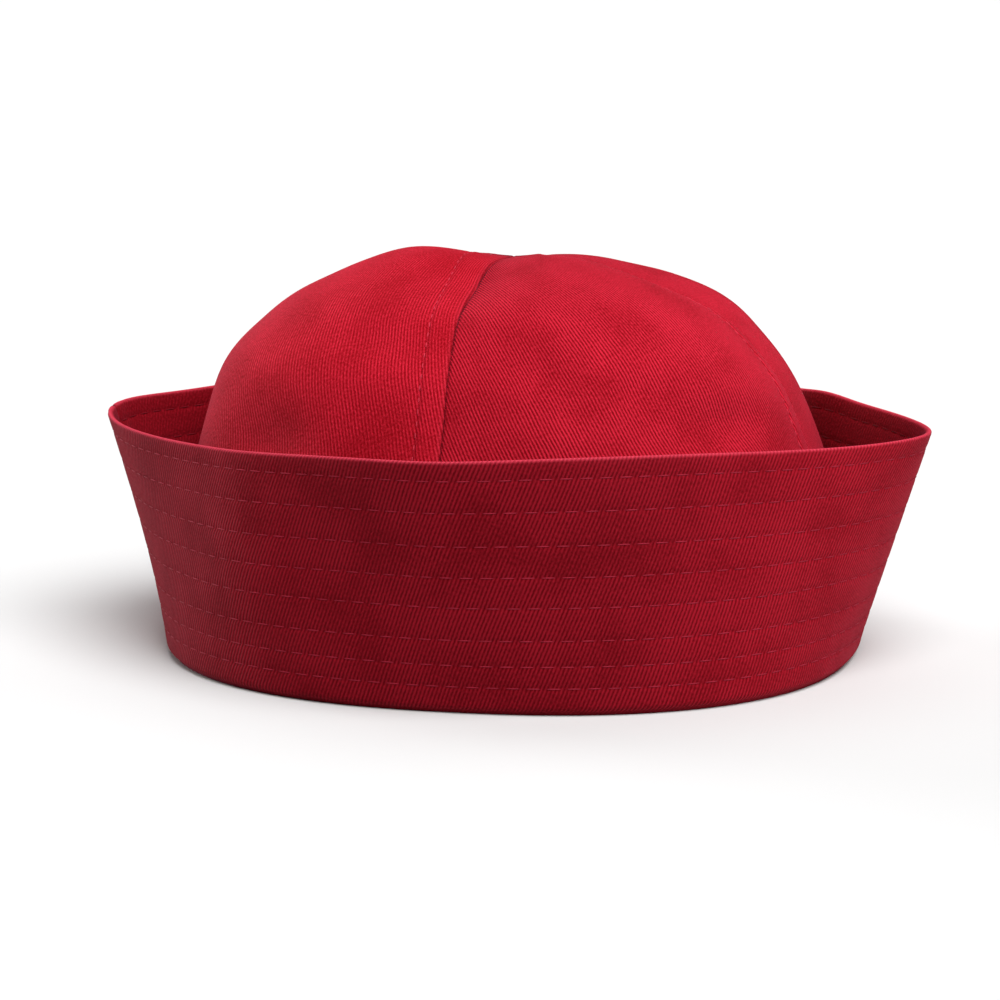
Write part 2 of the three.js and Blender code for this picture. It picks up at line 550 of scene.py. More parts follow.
def lengths(line: Table) -> Table:
    """Return the distance along a line of points to each of them."""
    steps = np.linalg.norm(np.diff(line, axis=0), axis=1)
    return np.concatenate([[0.0], np.cumsum(steps)])


def unit(vectors: Table) -> Table:
    """Return vectors made 1 long."""
    return vectors / np.linalg.norm(vectors, axis=-1, keepdims=True)


@dataclass(frozen=True)
class Stitches:
    """Short straight stitches of thread, laid along lines on the cloth.

    Attributes:
        length: Length of the thread that shows in each stitch.
        gap: Length of cloth between two stitches.
        thick: The thread's width.
    """

    length: float
    gap: float
    thick: float

    def single(self) -> tuple[Table, list[list[int]]]:
        """Model one stitch along X, thin at both ends where it goes into the cloth.

        Returns:
            Its points, and its faces as lists of points.
        """
        build = bmesh.new()
        bmesh.ops.create_uvsphere(build, u_segments=6, v_segments=4, radius=0.5)
        bmesh.ops.rotate(build, verts=build.verts, matrix=Matrix.Rotation(math.pi / 2, 3, "Y"))
        bmesh.ops.scale(build, verts=build.verts, vec=(self.length, self.thick, self.thick))
        points = np.array([vert.co for vert in build.verts])
        faces = [[vert.index for vert in face.verts] for face in build.faces]
        build.free()
        return points, faces

    def along(self, line: Callable[[Table], Spot], length: float) -> tuple[Table, Table]:
        """Find where the stitches of one line lie.

        Args:
            line: Gives the points of the line at distances along it.
            length: The line's length.

        Returns:
            The middles of the stitches, and for each its three directions.
        """
        count = max(1, int(length / (self.length + self.gap)))
        middles = (np.arange(count) + 0.5) * length / count
        before = line(middles - self.length / 2)
        after = line(middles + self.length / 2)
        middle = line(middles)
        forward = unit(after.place - before.place)
        side = unit(np.cross(middle.out, forward))
        return middle.place, np.stack([forward, side, np.cross(forward, side)], axis=1)

    def mesh(self, name: str, rows: Sequence[tuple[Table, Table]]) -> bpy.types.Mesh:
        """Join all the stitches of several lines into one mesh.

        Args:
            name: The mesh's name.
            rows: For each line, its stitches' middles and directions.

        Returns:
            The mesh.
        """
        single, faces = self.single()
        middles = np.concatenate([row[0] for row in rows])
        turns = np.concatenate([row[1] for row in rows])
        points = middles[:, None, :] + np.einsum("pk,nkj->npj", single, turns)
        firsts = [index * len(single) for index in range(len(middles))]
        joined = [[first + vert for vert in face] for first in firsts for face in faces]
        mesh = bpy.data.meshes.new(name)
        mesh.from_pydata(points.reshape(-1, 3).tolist(), [], joined)
        shade_smooth(mesh)
        return mesh


def arc(across: float, up: float, radius: float, turn: tuple[int, int], steps: int) -> list[Pair]:
    """Draw an arc of the brim's section.

    Args:
        across: Distance of its middle from the fold's widest line.
        up: Height of its middle.
        radius: Its radius.
        turn: The angles of its start and end, in degrees.
        steps: How many steps it has.

    Returns:
        Its points, with both ends.
    """
    angles = [math.radians(turn[0] + (turn[1] - turn[0]) * step / steps) for step in range(steps + 1)]
    return [(across + radius * math.cos(angle), up + radius * math.sin(angle)) for angle in angles]


@dataclass
class Brim:
    """The turned-up brim: a strip of double twill from the fold inside the crown to the rim.

    Attributes:
        wall: Thickness of the double cloth.
        foot: Width of the flat stretch that the cap rests on.
        foot_sag: How far the foot's edges lie above its middle.
        leg_height: Height of the short leg inside the crown.
        leg_wall: Thickness of that leg.
        leg_edge: Height of the leg's rounded upper edge.
        leg_row_height: Height of the stitches that join the leg to the crown.
        rim_height: Mean height of the rim.
        end_drop: How much lower the rim is at the ends than its mean.
        tilt: How much higher the rim is at the front.
        twist: How much the rim's low places are turned round the head.
        lean: How much higher the rim is on the wearer's right.
        rows: Distances of the stitch rows below the rim.
        row_depth: How deep a row of stitches draws the cloth in.
        row_width: Half the width of the line that it draws in.
        pull_width: Half the width of the puckered cloth round a row.
        pucker_height: Height of those puckers.
        pucker_pitch: Distance from pucker to pucker.
        pucker_slant: How far the puckers lean round the head, in radians of their wave.
        pucker_drift: Length of cloth over which the puckers come and go.
        joint_depth: Depth of the groove at the strip's joint.
        joint_groove: Half the width of that groove.
        joint_width: Distance from the strip's joint to the line of stitches beside it.
        joint_row_depth: How deep that line draws the cloth in.
        waves: Soft swells of the wall.
        rises: Small rises of the rim's edge.
        rubbed_edge_highlight: Half the width of the rim's rubbed edge, lightened for rubbing and as a
            painted highlight.
        painted_shading: Painted shade: lightness of the cloth's colour, held low over the whole brim.
        front_painted_light: Painted light: how much lighter the front end is made.
        front_light_span: Distances along X between which the painted light on the front grows.
        inside_painted_light: Painted light: how much lighter the inner face is made.
        around: Steps round the head.
        up_steps: Steps up the wall, apart from those at the stitch rows.
        row_steps: Places of the section's points across a stitch row.
        stitches: The stitches of its rows.
    """

    wall: float = 1.8 * MM
    foot: float = 2 * MM
    foot_sag: float = 0.02 * MM
    leg_height: float = 12 * MM
    leg_wall: float = 1.4 * MM
    leg_edge: float = 0.4 * MM
    leg_row_height: float = 8.5 * MM
    rim_height: float = 69.5 * MM
    end_drop: float = 2.6 * MM
    tilt: float = 1.3 * MM
    twist: float = 1.1 * MM
    lean: float = 2.3 * MM
    rows: tuple[float, ...] = (
        5.3 * MM,
        14.0 * MM,
        23.1 * MM,
        31.6 * MM,
        39.9 * MM,
        48.8 * MM,
        55.8 * MM,
        61.7 * MM,
    )
    row_depth: float = 0.22 * MM
    row_width: float = 0.8 * MM
    pull_width: float = 2.2 * MM
    pucker_height: float = 0.05 * MM
    pucker_pitch: float = 7.1 * MM
    pucker_slant: float = 9.0
    pucker_drift: float = 31 * MM
    joint_depth: float = 0.45 * MM
    joint_groove: float = 0.6 * MM
    joint_width: float = 6 * MM
    joint_row_depth: float = 0.2 * MM
    waves: tuple[Swell, ...] = (
        Swell(at=-129, rise=0.6, wide=12, tall=0.6, depth=2.4 * MM),
        Swell(at=-104, rise=0.5, wide=14, tall=0.5, depth=-1.2 * MM),
        Swell(at=-62, rise=0.75, wide=14, tall=0.35, depth=1.2 * MM),
        Swell(at=38, rise=1.0, wide=8, tall=0.4, depth=-2.4 * MM),
        Swell(at=55, rise=1.0, wide=9, tall=0.4, depth=2 * MM),
        Swell(at=140, rise=0.9, wide=14, tall=0.4, depth=-1.6 * MM),
    )
    rises: tuple[Swell, ...] = (
        Swell(at=34, rise=0.0, wide=6, tall=1.0, depth=1.3 * MM),
        Swell(at=176, rise=0.0, wide=9, tall=1.0, depth=1.3 * MM),
    )
    # Painted highlight along the rim's rubbed edge.
    rubbed_edge_highlight: float = 0.55 * MM
    # Painted light and shade: the brim darker overall, lighter towards the front end and on the inner face.
    painted_shading: float = 0.93
    front_painted_light: float = 0.5
    front_light_span: Pair = (40 * MM, 120 * MM)
    inside_painted_light: float = 0.3
    around: int = 480
    up_steps: int = 40
    row_steps: tuple[float, ...] = (-1.4 * MM, -0.9 * MM, -0.5 * MM, 0.0, 0.5 * MM, 0.9 * MM, 1.4 * MM)
    stitches: Stitches = Stitches(length=4.2 * MM, gap=1.5 * MM, thick=0.35 * MM)

    def rim_line(self, angle: Table) -> Table:
        """Return the height of the rim, at angles."""
        ends = -self.end_drop * np.cos(2 * angle) - self.twist * np.sin(2 * angle)
        small = swelling(self.rises, angle, np.zeros_like(angle))
        return self.rim_height + ends + self.tilt * np.cos(angle) - self.lean * np.sin(angle) + small

    def relief(self, share: Table, angle: Table) -> Table:
        """Work out how the stitches draw the cloth in and pucker it.

        Args:
            share: Shares of the wall's height.
            angle: Directions round the head.

        Returns:
            How far the cloth stands out, negative where it is drawn in.
        """
        below = (1 - share) * (self.rim_height - FOLD_RADIUS)
        sunk = sum(hump(below, row, self.row_width) for row in self.rows)
        pull = sum(hump(below, row, self.pull_width) for row in self.rows)
        girth = angle * FOLD.length
        wave = np.sin(girth * 2 * math.pi / self.pucker_pitch + self.pucker_slant * share)
        pucker = wave * np.sin(girth / self.pucker_drift)
        joint = (math.pi - np.abs(angle)) * FOLD.length
        sewn = self.joint_depth * hump(joint, 0.0, self.joint_groove)
        sewn = sewn + self.joint_row_depth * hump(joint, self.joint_width, self.row_width)
        return -self.row_depth * sunk + self.pucker_height * pull * pucker - sewn

    def bend(self, across: Table, up: Table, angle: Table) -> Table:
        """Carry points of the section to their places round the head.

        Args:
            across: Distance out from the fold's widest line.
            up: Height in the section.
            angle: Direction round the head.

        Returns:
            The points, one row each.
        """
        share = np.maximum(0.0, (up - FOLD_RADIUS) / (self.rim_height - FOLD_RADIUS))
        outer = (across > -FOLD_RADIUS).astype(float)
        flare = share * (RIM.radius(angle) - FOLD.radius(angle))
        # The waves grow over the lower half of the wall, and the relief just above the fold.
        wave = smooth(share, 0.0, 0.5) * swelling(self.waves, angle, share)
        face = np.where(across > -self.wall / 2, 1.0, -1.0)
        fine = face * self.relief(share, angle) * smooth(share, 0.0, 0.02)
        radius = FOLD.radius(angle) + across + outer * (flare + wave + fine)
        rise = up + outer * share * (self.rim_line(angle) - self.rim_height)
        return np.stack([radius * np.cos(angle), radius * np.sin(angle), rise], axis=-1)

    def heights(self) -> list[float]:
        """Space the section's points up the wall, closer together at the stitch rows.

        Returns:
            Their heights, lowest first.
        """
        low, high = FOLD_RADIUS, self.rim_height - self.wall / 2
        even = np.linspace(low, high, self.up_steps)[1:]
        close = [self.rim_height - row + step for row in self.rows for step in self.row_steps]
        far = [value for value in even if min(abs(value - near) for near in close) > 0.55 * MM]
        kept = [value for value in close if low < value < high - 0.3 * MM]
        return sorted([*far, *kept])

    def section(self) -> list[Pair]:
        """Draw the section: out from the fold's widest line, and up.

        Returns:
            The section's points, from the flat foot outside, over the rim and down inside.
        """
        inner = FOLD_RADIUS - self.wall
        foot = self.foot / 2
        sole = 0.4 * foot
        rim = self.rim_height - self.wall / 2
        walls = self.heights()[:-1]
        leg_back = -FOLD_RADIUS - inner
        leg_face = leg_back - self.leg_wall
        leg_top = self.leg_height - self.leg_edge
        leg = [FOLD_RADIUS + (self.leg_height - FOLD_RADIUS) * step / 6 for step in range(6)]
        return [
            (-FOLD_RADIUS + sole, 0.0),
            (-FOLD_RADIUS + foot, self.foot_sag),
            *arc(-FOLD_RADIUS + foot, FOLD_RADIUS, FOLD_RADIUS - foot, (-80, 0), 6)[1:],
            *((0.0, height) for height in walls),
            *arc(-self.wall / 2, rim, self.wall / 2, (0, 180), 8),
            *((-self.wall, height) for height in reversed(walls)),
            *arc(-FOLD_RADIUS, FOLD_RADIUS, inner, (0, -180), 8),
            *((leg_back, height) for height in leg[1:]),
            (leg_back, leg_top),
            (leg_back - self.leg_wall / 2, self.leg_height),
            (leg_face, leg_top),
            *((leg_face, height) for height in reversed(leg)),
            (-FOLD_RADIUS - foot - (FOLD_RADIUS - foot) * 0.7, 0.75 * MM),
            (-FOLD_RADIUS - foot, self.foot_sag),
            (-FOLD_RADIUS - sole, 0.0),
        ]

    def cloth(self) -> bpy.types.Mesh:
        """Bend a flat grid into the section and round the head.

        Returns:
            The brim's mesh, with its cloth map.
        """
        section = np.array([*self.section(), self.section()[0]])
        count = len(section) - 1
        build = bmesh.new()
        bmesh.ops.create_grid(build, x_segments=self.around, y_segments=count, size=0.5)
        mesh = new_mesh("brim_cloth", build)
        flat = read_points(mesh)
        angle = (flat[:, 0] * 2) * math.pi
        step = (flat[:, 1] + 0.5) * count
        steps = np.arange(count + 1)
        across, up = (np.interp(step, steps, column) for column in section.T)
        points = self.bend(across, up, angle)
        write_points(mesh, points)
        write_cloth_map(mesh, self.girth(angle), np.interp(step, steps, lengths(section)))
        back = (across < -0.6 * self.wall).astype(float)
        # Painted light and shade: the brim darker overall, lighter towards the front end and inside.
        painted_shading = self.painted_shading + self.front_painted_light * smooth(points[:, 0], *self.front_light_span)
        # Painted highlight along the rim's rubbed edge.
        write_value(mesh, "rubbed_highlight", hump(up, self.rim_height + 0.1 * MM, self.rubbed_edge_highlight))
        write_value(mesh, "painted_shading", painted_shading + self.inside_painted_light * back)
        write_value(mesh, "calm", back)
        close_mesh(mesh)
        return mesh

    def girth(self, angle: Table) -> Table:
        """Return the distance round the middle of the wall, at angles."""
        middle = np.full_like(ROUND, 0.5 * self.rim_height)
        return np.interp(angle, ROUND, lengths(self.bend(np.zeros_like(ROUND), middle, ROUND)))

    def face(self, side: Side) -> float:
        """Return how far out a face of the wall lies in the section."""
        return 0.0 if side is Side.OUTSIDE else -self.wall

    def on_wall(self, side: Side, up: Table, angle: Table, reach: float) -> Spot:
        """Find where thread lies on a face of the wall.

        Args:
            side: The face.
            up: Heights in the section.
            angle: Directions round the head.
            reach: How far up and down the wall's slope is read.

        Returns:
            The points, half sunk in the cloth, and the directions out of it.
        """
        across = np.full_like(angle, self.face(side))
        turned = self.bend(across, up, angle + NUDGE) - self.bend(across, up, angle - NUDGE)
        raised = self.bend(across, up + reach, angle) - self.bend(across, up - reach, angle)
        out = unit(side.value * np.cross(turned, raised))
        return Spot(self.bend(across, up, angle) + out * THREAD_LIFT, out)

    def row(self, below: float, side: Side) -> tuple[Table, Table]:
        """Lay one row of stitches round the brim.

        Args:
            below: The row's distance below the rim.
            side: The face of the wall that it lies on.

        Returns:
            The middles and directions of its stitches.
        """
        up = self.rim_height - below
        ring = self.bend(np.full_like(ROUND, self.face(side)), np.full_like(ROUND, up), ROUND)
        total = lengths(ring)

        def spot(distance: Table) -> Spot:
            """Return the row's points and outward directions at distances along it."""
            angle = np.interp(distance, total, ROUND)
            return self.on_wall(side, np.full_like(angle, up), angle, 2 * MM)

        return self.stitches.along(spot, float(total[-1]))

    def joint_row(self, turn: float) -> tuple[Table, Table]:
        """Lay a row of stitches up the outside beside the strip's joint.

        Args:
            turn: The row's direction round the head.

        Returns:
            The middles and directions of its stitches.
        """
        ups = np.linspace(FOLD_RADIUS + 2 * MM, self.rim_height - 2 * MM, 200)
        total = lengths(self.bend(np.zeros_like(ups), ups, np.full_like(ups, turn)))

        def spot(distance: Table) -> Spot:
            """Return the row's points and outward directions at distances up it."""
            up = np.interp(distance, total, ups)
            return self.on_wall(Side.OUTSIDE, up, np.full_like(up, turn), MM)

        return self.stitches.along(spot, float(total[-1]))

    def leg_row(self) -> tuple[Table, Table]:
        """Lay the row of stitches that joins the leg to the crown, seen from inside.

        Returns:
            The middles and directions of its stitches.
        """
        leg_face = -2 * FOLD_RADIUS + self.wall - self.leg_wall

        def ring(angle: Table) -> Table:
            """Return points of the row's ring on the leg, at angles."""
            return self.bend(np.full_like(angle, leg_face), np.full_like(angle, self.leg_row_height), angle)

        total = lengths(ring(ROUND))

        def spot(distance: Table) -> Spot:
            """Return the row's points and inward directions at distances along it."""
            angle = np.interp(distance, total, ROUND)
            out = -np.stack([np.cos(angle), np.sin(angle), np.zeros_like(angle)], axis=1)
            return Spot(ring(angle) + out * THREAD_LIFT, out)

        return self.stitches.along(spot, float(total[-1]))

    def build(self, cloth: TwillCloth, thread: Thread, hidden: Thread) -> None:
        """Make the brim's pieces and dress them.

        Args:
            cloth: The finish of the brim's twill.
            thread: The finish of its stitches outside.
            hidden: The finish of its stitches inside.
        """
        wall = add_piece("brim_cloth", self.cloth(), cloth.material())
        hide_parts("brim")
        beside = math.pi - self.joint_width / FOLD.length
        outer = [self.row(below, Side.OUTSIDE) for below in self.rows]
        outer.extend(self.joint_row(turn) for turn in (-beside, beside))
        inner = [self.row(below, Side.INSIDE) for below in self.rows]
        inner.append(self.leg_row())
        faces = (("brim_stitches_outside", outer, thread), ("brim_stitches_inside", inner, hidden))
        for name, rows, finish in faces:
            mesh = self.stitches.mesh(name, rows)
            add_piece(name, mesh, finish.material())


@dataclass(frozen=True)
class Seam:
    """A seam of the crown, which curves a little on its way to the top.

    Attributes:
        gore: Name of the gore that starts at it.
        low: Its direction round the head at the rim, in degrees.
        high: Its direction near the top, in degrees.
        calm: How much rubbing has smoothed the weave of its gore, from 0 to 1; it also sets the painted
            light on that gore.
    """

    gore: str
    low: float
    high: float
    calm: float = 0.0

    def angle(self, share: Table) -> Table:
        """Return the seam's direction at shares of the way up."""
        return np.radians(self.low + (self.high - self.low) * smooth(share, 0.3, 0.9))


@dataclass
class Crown:
    """The crown: four gores of single twill that meet at the top.

    Attributes:
        wall: Thickness of the cloth.
        low: Height of the lower edge inside the brim's fold.
        height: Height of the crown.
        lean: How far the top lies along X from the middle.
        tilt: How much the crown falls towards the wearer's left side.
        gap: Width of the groove between two gores.
        lap_width: Width of the pressed seam allowance, up to its line of stitches.
        lap_rise: How far the allowance lifts the cloth.
        line_depth: How deep the line of stitches draws the cloth in.
        line_width: Half the width that it draws in.
        pucker_height: Height of the puckers beside the seams.
        pucker_pitches: Distances from pucker to pucker at the right and the left seam.
        roll: How far the cloth rolls in at its seams.
        allowance_rise: How far the allowances stand out inside.
        seam_dip: How far the gores rise above their seams at the top.
        puff: How far the gores swell between their seams at the sides.
        free_rise: Shares of the height between which the cloth comes free of the brim.
        top_reach: Share of the base radius within which swells die away at the top.
        tip: Least distance of a gore's end from the middle.
        top_share: How far up the section the gores reach.
        profile: Share of the base radius kept at a share of the height, as pairs of
            rise and reach.
        seams: The seams in order round the head.
        swells: Soft swells and dents of the cloth.
        rubbed_edge_highlight: How much the lap's edge is lightened, for rubbing and as a painted highlight.
        calm_painted_light: Painted light: how much lighter a calm gore's colour is made.
        crease_painted_shade: Painted shade: how much darker the cloth is made in the crease of a seam.
        crease_shade_width: Half the width of that painted shade.
        crowding: How much a gore's grid crowds towards its seams, from 0 to 1.
        across_steps: Steps across a gore.
        up_steps: Steps up a gore.
        stitches: The stitches along each seam.
    """

    wall: float = 1.2 * MM
    low: float = 2.5 * MM
    height: float = 115.1 * MM
    lean: float = -0.6 * MM
    tilt: float = 8.8 * MM
    gap: float = 0.03 * MM
    lap_width: float = 7.6 * MM
    lap_rise: float = 0.4 * MM
    line_depth: float = 0.3 * MM
    line_width: float = 0.7 * MM
    pucker_height: float = 0.09 * MM
    pucker_pitches: Pair = (6.8 * MM, 8.3 * MM)
    roll: float = 0.33 * MM
    allowance_rise: float = 0.5 * MM
    seam_dip: float = 6.7 * MM
    puff: float = 2.0 * MM
    free_rise: Pair = (0.14, 0.4)
    top_reach: float = 0.5
    tip: float = 0.6 * MM
    top_share: float = 0.997
    profile: tuple[Pair, ...] = (
        (0.0, 1.0),
        (0.12, 0.995),
        (0.34, 0.95),
        (0.55, 0.885),
        (0.7, 0.827),
        (0.8, 0.74),
        (0.88, 0.62),
        (0.94, 0.41),
        (0.977, 0.28),
        (0.995, 0.16),
        (1.0, 0.0),
    )
    seams: tuple[Seam, ...] = (
        Seam("gore_back_right", low=-180, high=-184, calm=0.55),
        Seam("gore_front_right", low=-93, high=-95),
        Seam("gore_front_left", low=-5, high=-6),
        Seam("gore_back_left", low=90, high=92),
    )
    swells: tuple[Swell, ...] = (
        Swell(at=-168, rise=0.66, wide=46, tall=0.26, depth=1.4 * MM),
        Swell(at=-150, rise=0.84, wide=34, tall=0.1, depth=-2.1 * MM),
        Swell(at=-140, rise=0.97, wide=45, tall=0.06, depth=3.2 * MM),
        Swell(at=-60, rise=0.84, wide=34, tall=0.1, depth=1.2 * MM),
        Swell(at=12, rise=0.76, wide=40, tall=0.16, depth=-3.4 * MM),
        Swell(at=30, rise=0.98, wide=50, tall=0.05, depth=-2 * MM),
        Swell(at=115, rise=0.97, wide=60, tall=0.09, depth=-7.4 * MM),
        Swell(at=-133, rise=0.54, wide=12, tall=0.1, depth=-4 * MM),
        Swell(at=-112, rise=0.79, wide=14, tall=0.05, depth=-1.4 * MM),
        Swell(at=-101, rise=0.93, wide=14, tall=0.05, depth=-1.2 * MM),
        Swell(at=-80, rise=0.85, wide=12, tall=0.06, depth=1.6 * MM),
        Swell(at=-74, rise=0.74, wide=8, tall=0.05, depth=-1.6 * MM),
        Swell(at=-88, rise=0.45, wide=30, tall=0.14, depth=4.4 * MM),
        Swell(at=-71, rise=0.57, wide=8, tall=0.06, depth=1.2 * MM),
        Swell(at=-42, rise=0.6, wide=17, tall=0.1, depth=-3.8 * MM),
        Swell(at=-51, rise=0.69, wide=9, tall=0.05, depth=-1.4 * MM),
        Swell(at=-31, rise=0.62, wide=8, tall=0.05, depth=-1.4 * MM),
    )
    # Painted highlight along the lap's rubbed edge.
    rubbed_edge_highlight: float = 0.12
    # Painted light on the calm gore.
    calm_painted_light: float = 0.35
    # Painted shade in the seams' creases.
    crease_painted_shade: float = 0.3
    crease_shade_width: float = 0.35 * MM
    crowding: float = 0.7
    across_steps: int = 150
    up_steps: int = 130
    stitches: Stitches = Stitches(length=1.8 * MM, gap=1.6 * MM, thick=0.38 * MM)

    def section(self, share: Table) -> tuple[Table, Table]:
        """Read the crown's section as a smooth curve through its profile.

        Args:
            share: Shares of the way up.

        Returns:
            The reach, as a share of the base radius, and the rise, as a share of the height.
        """
        rows = np.array(self.profile)
        spot = np.clip(share, 0.0, 1.0) * (len(rows) - 1)
        index = np.minimum(spot.astype(int), len(rows) - 2)
        part = (spot - index)[..., None]
        before = rows[np.maximum(index - 1, 0)]
        here, there = rows[index], rows[index + 1]
        after = rows[np.minimum(index + 2, len(rows) - 1)]
        leave, arrive = (there - before) / 2, (after - here) / 2
        cubic = (2 * here - 2 * there + leave + arrive) * part**3
        square = (-3 * here + 3 * there - 2 * leave - arrive) * part**2
        point = cubic + square + leave * part + here
        return point[..., 1], point[..., 0]

    def surface(self, share: Table, angle: Table, puff: Table) -> Table:
        """Return points of the crown's outer face.

        Args:
            share: Share of the way up the section.
            angle: Direction round the head.
            puff: How much of the gore's swelling to use, from 0 at a seam to 1.

        Returns:
            The points, one row each.
        """
        reach, rise = self.section(share)
        free = smooth(rise, *self.free_rise)
        near = smooth(reach, 0.0, self.top_reach)
        base = FOLD.radius(angle) - FOLD_RADIUS + self.wall / 2
        bulge = free * (puff * self.puff + swelling(self.swells, angle, rise))
        outward = reach**2
        upward = 1 - outward
        radius = reach * base + bulge * outward * near
        lift = free * near * puff * self.seam_dip * upward + bulge * upward * near
        along = radius * np.cos(angle) + free * upward * self.lean
        aside = radius * np.sin(angle)
        fall = free * self.tilt * aside / FOLD.width
        height = self.low + rise * (self.height - self.low) + lift - fall
        return np.stack([along, aside, height], axis=-1)

    def normal(self, share: Table, angle: Table) -> Table:
        """Find the cloth's outward directions, the same on both sides of a seam.

        Args:
            share: Shares of the way up.
            angle: Directions round the head.

        Returns:
            The directions, one row each.
        """
        flat = np.zeros_like(share)
        aside = self.surface(share, angle + NUDGE, flat) - self.surface(share, angle - NUDGE, flat)
        above = self.surface(np.minimum(share + NUDGE, 1.0), angle, flat)
        above = above - self.surface(np.maximum(share - NUDGE, 0.0), angle, flat)
        return unit(np.cross(aside, above))

    def run(self, share: Table) -> Table:
        """Return the length of cloth from the lower edge to shares of the way up."""
        shares = np.linspace(0.0, 1.0, 801)
        reach, rise = self.section(shares)
        line = np.stack([reach * FOLD.width, rise * self.height], axis=1)
        return np.interp(share, shares, lengths(line))

    def spread(self, index: int, share: Table) -> tuple[Table, Table]:
        """Find how a gore lies round the head.

        Args:
            index: The gore's place in the order round the head.
            share: Shares of the way up.

        Returns:
            The direction of its left seam, and the angle from there to its right one.
        """
        left, right = self.seams[index], self.seams[(index + 1) % len(self.seams)]
        start = left.angle(share)
        span = right.angle(share) - start
        return start, np.where(span < 0, span + 2 * math.pi, span)

    def reach(self, share: Table) -> Table:
        """Return the crown's distance from its middle at shares of the way up."""
        return np.maximum(self.section(share)[0] * FOLD.width, self.tip)

    def width(self, index: int, share: Table) -> Table:
        """Return the width of a gore at shares of the way up."""
        return self.spread(index, share)[1] * self.reach(share)

    def sewn(self, index: int, across: Table, share: Table) -> tuple[Table, Table, Table, Table]:
        """Place points of a gore between its two seams.

        Args:
            index: The gore's place in the order round the head.
            across: Share of the way from its left seam to its right one.
            share: Share of the way up.

        Returns:
            The outer face's points, its outward directions, how far details lift the
            outer face, and the distance across the flat cloth from the gore's middle.
        """
        start, span = self.spread(index, share)
        reach = self.reach(share)
        width = span * reach
        trim = np.minimum(np.arcsin(self.gap / 2 / reach), span * 0.4)
        angle = start + trim + across * (span - 2 * trim)
        puff = np.sin(math.pi * np.clip(across, 0.0, 1.0)) ** 0.7
        point = self.surface(share, angle, puff)
        flat = (across - 0.5) * (width + span * FOLD.width) / 2
        return point, self.normal(share, angle), self.relief(across, share, width), flat

    def relief(self, across: Table, share: Table, width: Table) -> Table:
        """Work out how the lap, the seams and the puckers lift the outer face.

        Args:
            across: Share of the way across the gore.
            share: Share of the way up.
            width: Width of the gore there.

        Returns:
            How far the face is lifted, negative where it is drawn in.
        """
        right, left = (1 - across) * width, across * width
        run = self.run(share)
        pressed = 1 - smooth(right, self.lap_width - MM, self.lap_width + MM)
        line = hump(right, self.lap_width, self.line_width)
        right_turn, left_turn = (run * 2 * math.pi / pitch for pitch in self.pucker_pitches)
        pull = hump(right, self.lap_width, 3 * MM) * np.sin(right_turn + np.sin(run / (9 * MM)))
        pull = pull + 0.8 * hump(left, 0.0, 4 * MM) * np.sin(left_turn)
        rolled = hump(right, 0.0, 0.4 * MM) + hump(left, 0.0, 0.6 * MM)
        lift = self.lap_rise * pressed + self.pucker_height * pull
        above_base = smooth(share, 0.04, 0.12)
        return above_base * (lift - self.line_depth * line - self.roll * rolled)

    def allowance(self, index: int, across: Table, share: Table) -> Table:
        """Work out how far the seam allowances stand out inside the crown.

        Args:
            index: The gore's place in the order round the head.
            across: Share of the way across the gore.
            share: Share of the way up.

        Returns:
            The distances inwards.
        """
        near = np.minimum(across, 1 - across) * self.width(index, share)
        pressed = 1 - smooth(near, self.lap_width - 0.4 * MM, self.lap_width + 0.4 * MM)
        ends = smooth(share, 0.06, 0.1) * (1 - smooth(share, 0.9, 0.96))
        return self.allowance_rise * pressed * smooth(near, 0.0, 0.8 * MM) * ends

    def gore(self, index: int) -> bpy.types.Mesh:
        """Cut one gore as a flat grid with a thickness, and sew it into its place.

        Args:
            index: The gore's place in the order round the head.

        Returns:
            The gore's mesh, with its cloth map.
        """
        seam = self.seams[index]
        sheet = 0.1
        build = bmesh.new()
        bmesh.ops.create_grid(build, x_segments=self.across_steps, y_segments=self.up_steps, size=0.5)
        bmesh.ops.solidify(build, geom=build.faces[:], thickness=-sheet)
        mesh = new_mesh(seam.gore, build)
        flat = read_points(mesh)
        even = flat[:, 0] + 0.5
        across = even - self.crowding * np.sin(2 * math.pi * even) / (2 * math.pi)
        share = (flat[:, 1] + 0.5) * self.top_share
        inner = np.abs(flat[:, 2]) > sheet / 2
        point, out, lift, place = self.sewn(index, across, share)
        depth = np.where(inner, -self.wall - self.allowance(index, across, share), lift)
        write_points(mesh, point + out * depth[:, None])
        write_cloth_map(mesh, place, self.run(share))
        width = self.width(index, share)
        right = (1 - across) * width
        # Painted highlight along the lap's rubbed edge.
        rubbed_and_highlit = self.rubbed_edge_highlight * hump(right, 0.7 * MM, 0.5 * MM)
        # Painted shade in the seams' creases.
        crease = hump(np.minimum(right, across * width), 0.0, self.crease_shade_width)
        write_value(mesh, "rubbed_highlight", np.where(inner, 0.0, rubbed_and_highlit))
        # Painted light on the calm gore, and painted shade in the creases.
        write_value(mesh, "painted_shading", 1.0 + self.calm_painted_light * seam.calm - self.crease_painted_shade * crease)
        write_value(mesh, "calm", np.where(inner, 1.0, seam.calm))
        close_mesh(mesh)
        return mesh

    def seam_row(self, index: int, side: Side) -> tuple[Table, Table]:
        """Lay the stitches along the right seam of a gore.

        Args:
            index: The gore's place in the order round the head.
            side: The face of the cloth that they lie on.

        Returns:
            The middles and directions of the stitches.
        """
        shares = np.linspace(0.02, 0.93, 600)

        def place(share: Table) -> Spot:
            """Return points and outward directions of the line at shares of the way up."""
            across = 1 - self.lap_width / self.width(index, share)
            point, out, lift, _ = self.sewn(index, across, share)
            under = -self.wall - self.allowance(index, across, share) - 0.1 * MM
            depth = lift + 0.06 * MM if side is Side.OUTSIDE else under
            return Spot(point + out * depth[:, None], side.value * out)

        total = lengths(place(shares).place)

